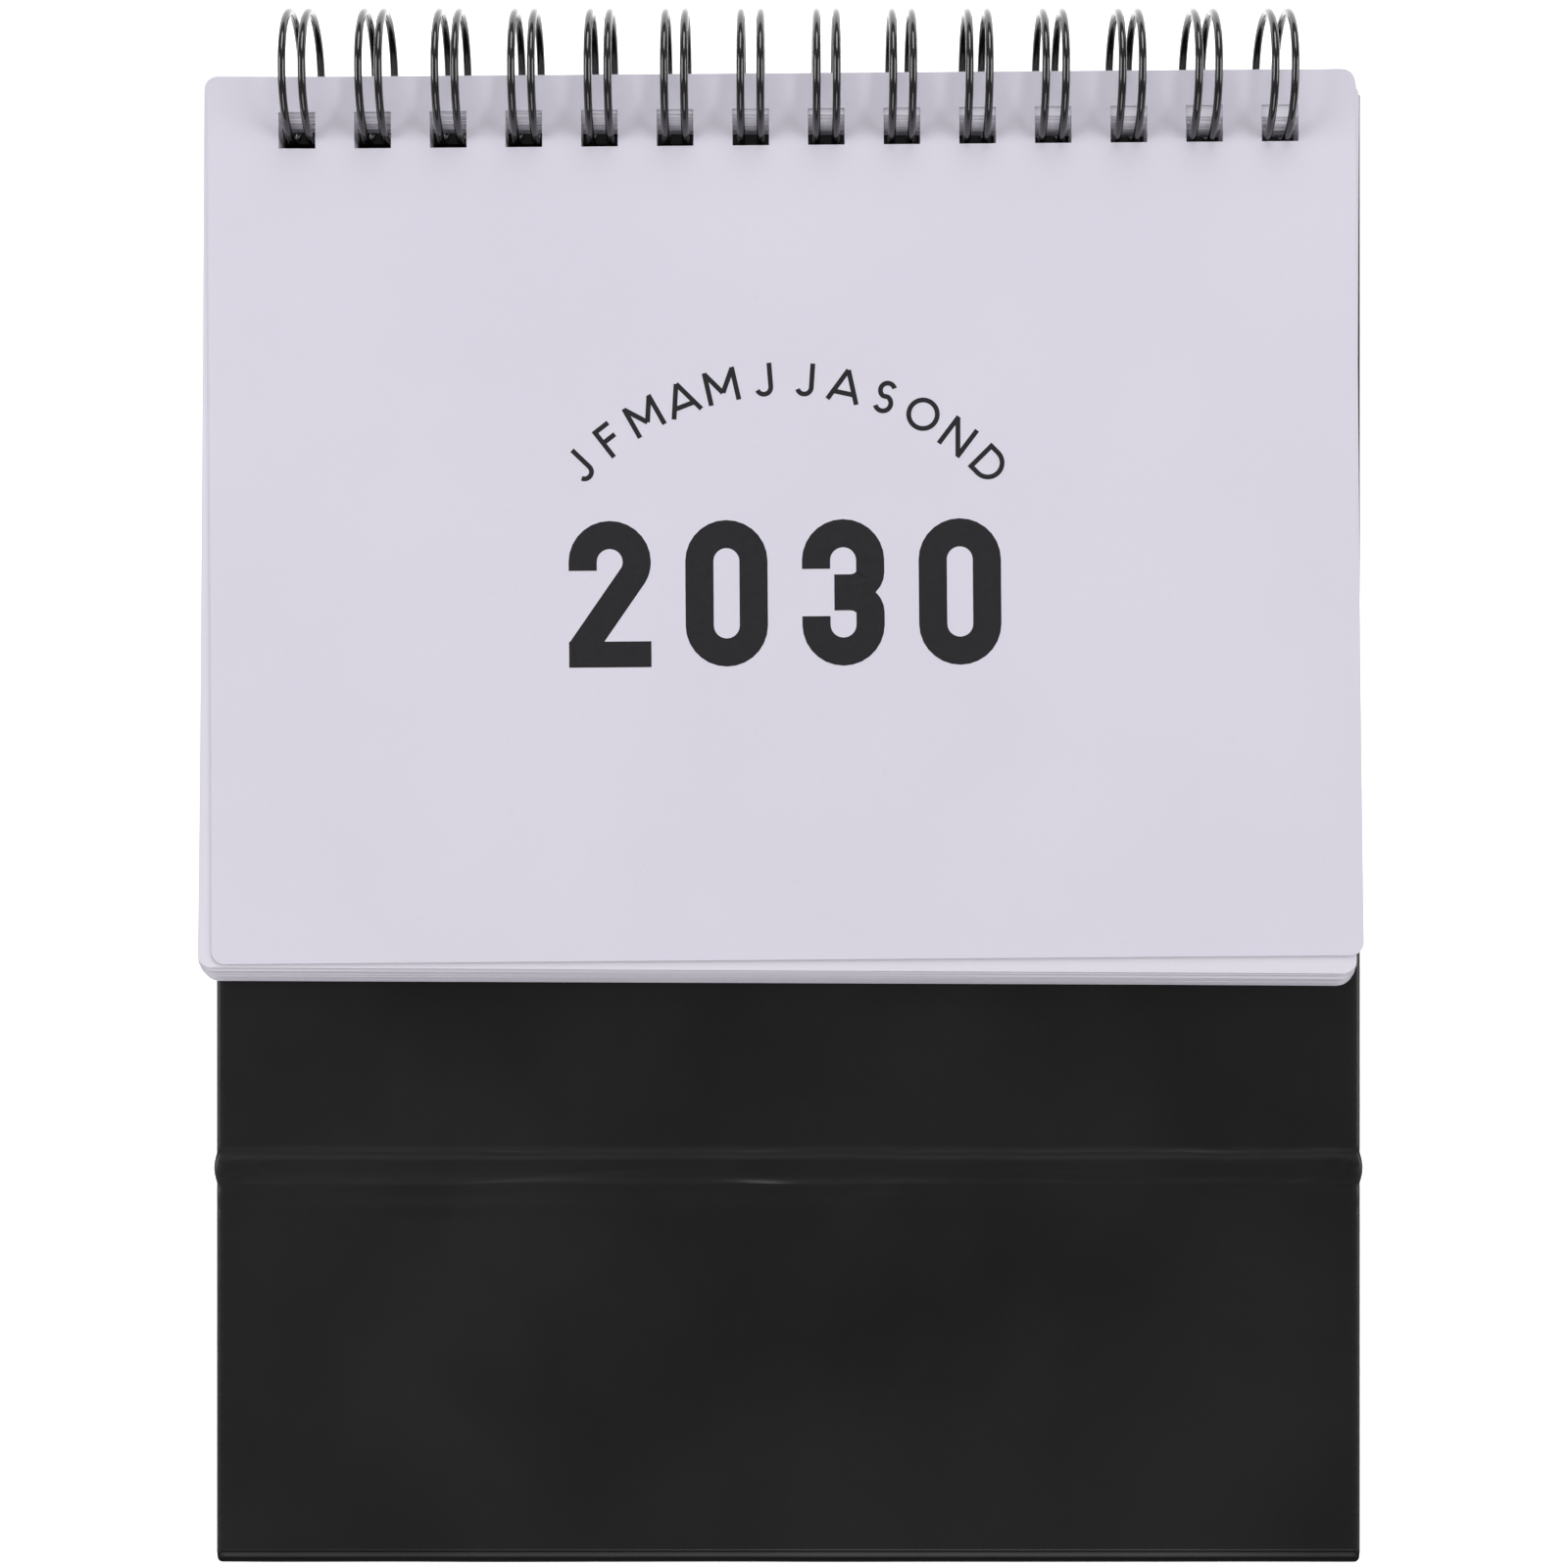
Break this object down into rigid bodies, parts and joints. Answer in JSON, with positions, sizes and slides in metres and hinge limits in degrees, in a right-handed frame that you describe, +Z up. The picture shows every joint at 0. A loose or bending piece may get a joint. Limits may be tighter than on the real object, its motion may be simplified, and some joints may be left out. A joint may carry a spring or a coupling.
{
  "type": "flip desk calendar",
  "caption": "Flip desk calendar: a folding four-panel easel stand with a twin-loop wire binding and plain month sheets that turn over the wire.",
  "frame": {"origin": "middle of the outer face of the base's rear half, in one plane with the back board's outer face", "axes": "+X along the wire, +Y from the base fold towards the wire, +Z up out of the cover sheet, with the calendar closed and lying on its back"},
  "size_m": [0.1309, 0.1758, 0.0152],
  "materials": {
    "greyboard": "matt, unbleached",
    "black_wrap": "satin film-laminated black paper",
    "black_lining": "matt black paper",
    "black_wire": "gloss nylon-coated steel",
    "cover_paper": "smooth matt uncoated card",
    "month_paper": "smooth matt uncoated card"
  },
  "bodies": {
    "back_board": {"back_board_core": "greyboard", "back_board_wrap": "black_wrap", "back_board_lining": "black_lining", "back_crease_strip": "black_wrap", "wire_loop_01": "black_wire", "wire_loop_02": "black_wire", "wire_loop_03": "black_wire", "wire_loop_04": "black_wire", "wire_loop_05": "black_wire", "wire_loop_06": "black_wire", "wire_loop_07": "black_wire", "wire_loop_08": "black_wire", "wire_loop_09": "black_wire", "wire_loop_10": "black_wire", "wire_loop_11": "black_wire", "wire_loop_12": "black_wire", "wire_loop_13": "black_wire", "wire_loop_14": "black_wire", "wire_spine_links": "black_wire"},
    "front_board": {"front_board_core": "greyboard", "front_board_wrap": "black_wrap", "front_board_lining": "black_lining", "front_crease_strip": "black_wrap"},
    "base_front": {"base_front_core": "greyboard", "base_front_wrap": "black_wrap", "base_front_lining": "black_lining", "centre_fold_strip": "black_wrap"},
    "base_rear": {"base_rear_core": "greyboard", "base_rear_wrap": "black_wrap", "base_rear_lining": "black_lining"},
    "cover_sheet": {"cover_sheet": "cover_paper"},
    "january_sheet": {"january_sheet": "month_paper"},
    "february_sheet": {"february_sheet": "month_paper"},
    "march_sheet": {"march_sheet": "month_paper"},
    "april_sheet": {"april_sheet": "month_paper"},
    "may_sheet": {"may_sheet": "month_paper"},
    "june_sheet": {"june_sheet": "month_paper"},
    "july_sheet": {"july_sheet": "month_paper"},
    "august_sheet": {"august_sheet": "month_paper"},
    "september_sheet": {"september_sheet": "month_paper"},
    "october_sheet": {"october_sheet": "month_paper"},
    "november_sheet": {"november_sheet": "month_paper"},
    "december_sheet": {"december_sheet": "month_paper"}
  },
  "joints": [
    {"name": "stand_open", "type": "hinge", "parent": "back_board", "child": "front_board", "pos_m": [0, 0.14538, 0.0061], "axis": [-1, 0, 0], "range_deg": [0, 43.35], "deforming": ["back_crease_strip"]},
    {"name": "base_fold", "type": "hinge", "parent": "front_board", "child": "base_front", "pos_m": [0, 0.02245, 0.0032], "axis": [1, 0, 0], "range_deg": [0, 113.51], "deforming": ["front_crease_strip"]},
    {"name": "base_unfold", "type": "hinge", "parent": "base_front", "child": "base_rear", "pos_m": [0, -0.024, 0.0021], "axis": [-1, 0, 0], "range_deg": [0, 180.01], "deforming": ["centre_fold_strip"]},
    {"name": "cover_flip", "type": "hinge", "parent": "front_board", "child": "cover_sheet", "pos_m": [0, 0.14538, 0.0061], "axis": [-1, 0, 0], "range_deg": [0, 180]},
    {"name": "january_flip", "type": "hinge", "parent": "front_board", "child": "january_sheet", "pos_m": [0, 0.14538, 0.0061], "axis": [-1, 0, 0], "range_deg": [0, 180]},
    {"name": "february_flip", "type": "hinge", "parent": "front_board", "child": "february_sheet", "pos_m": [0, 0.14538, 0.0061], "axis": [-1, 0, 0], "range_deg": [0, 180]},
    {"name": "march_flip", "type": "hinge", "parent": "front_board", "child": "march_sheet", "pos_m": [0, 0.14538, 0.0061], "axis": [-1, 0, 0], "range_deg": [0, 180]},
    {"name": "april_flip", "type": "hinge", "parent": "front_board", "child": "april_sheet", "pos_m": [0, 0.14538, 0.0061], "axis": [-1, 0, 0], "range_deg": [0, 180]},
    {"name": "may_flip", "type": "hinge", "parent": "front_board", "child": "may_sheet", "pos_m": [0, 0.14538, 0.0061], "axis": [-1, 0, 0], "range_deg": [0, 180]},
    {"name": "june_flip", "type": "hinge", "parent": "front_board", "child": "june_sheet", "pos_m": [0, 0.14538, 0.0061], "axis": [-1, 0, 0], "range_deg": [0, 180]},
    {"name": "july_flip", "type": "hinge", "parent": "front_board", "child": "july_sheet", "pos_m": [0, 0.14538, 0.0061], "axis": [-1, 0, 0], "range_deg": [0, 180]},
    {"name": "august_flip", "type": "hinge", "parent": "front_board", "child": "august_sheet", "pos_m": [0, 0.14538, 0.0061], "axis": [-1, 0, 0], "range_deg": [0, 180]},
    {"name": "september_flip", "type": "hinge", "parent": "front_board", "child": "september_sheet", "pos_m": [0, 0.14538, 0.0061], "axis": [-1, 0, 0], "range_deg": [0, 180]},
    {"name": "october_flip", "type": "hinge", "parent": "front_board", "child": "october_sheet", "pos_m": [0, 0.14538, 0.0061], "axis": [-1, 0, 0], "range_deg": [0, 180]},
    {"name": "november_flip", "type": "hinge", "parent": "front_board", "child": "november_sheet", "pos_m": [0, 0.14538, 0.0061], "axis": [-1, 0, 0], "range_deg": [0, 180]},
    {"name": "december_flip", "type": "hinge", "parent": "front_board", "child": "december_sheet", "pos_m": [0, 0.14538, 0.0061], "axis": [-1, 0, 0], "range_deg": [0, 180]}
  ],
  "couplings": [
    {"joint": "base_fold", "follows": "stand_open", "ratio": 2.6183},
    {"joint": "base_unfold", "follows": "stand_open", "ratio": 4.1524},
    {"joint": "january_flip", "follows": "cover_flip", "ratio": 0.92308},
    {"joint": "february_flip", "follows": "cover_flip", "ratio": 0.84615},
    {"joint": "march_flip", "follows": "cover_flip", "ratio": 0.76923},
    {"joint": "april_flip", "follows": "cover_flip", "ratio": 0.69231},
    {"joint": "may_flip", "follows": "cover_flip", "ratio": 0.61538},
    {"joint": "june_flip", "follows": "cover_flip", "ratio": 0.53846},
    {"joint": "july_flip", "follows": "cover_flip", "ratio": 0.46154},
    {"joint": "august_flip", "follows": "cover_flip", "ratio": 0.38462},
    {"joint": "september_flip", "follows": "cover_flip", "ratio": 0.30769},
    {"joint": "october_flip", "follows": "cover_flip", "ratio": 0.23077},
    {"joint": "november_flip", "follows": "cover_flip", "ratio": 0.15385},
    {"joint": "december_flip", "follows": "cover_flip", "ratio": 0.07692}
  ]
}
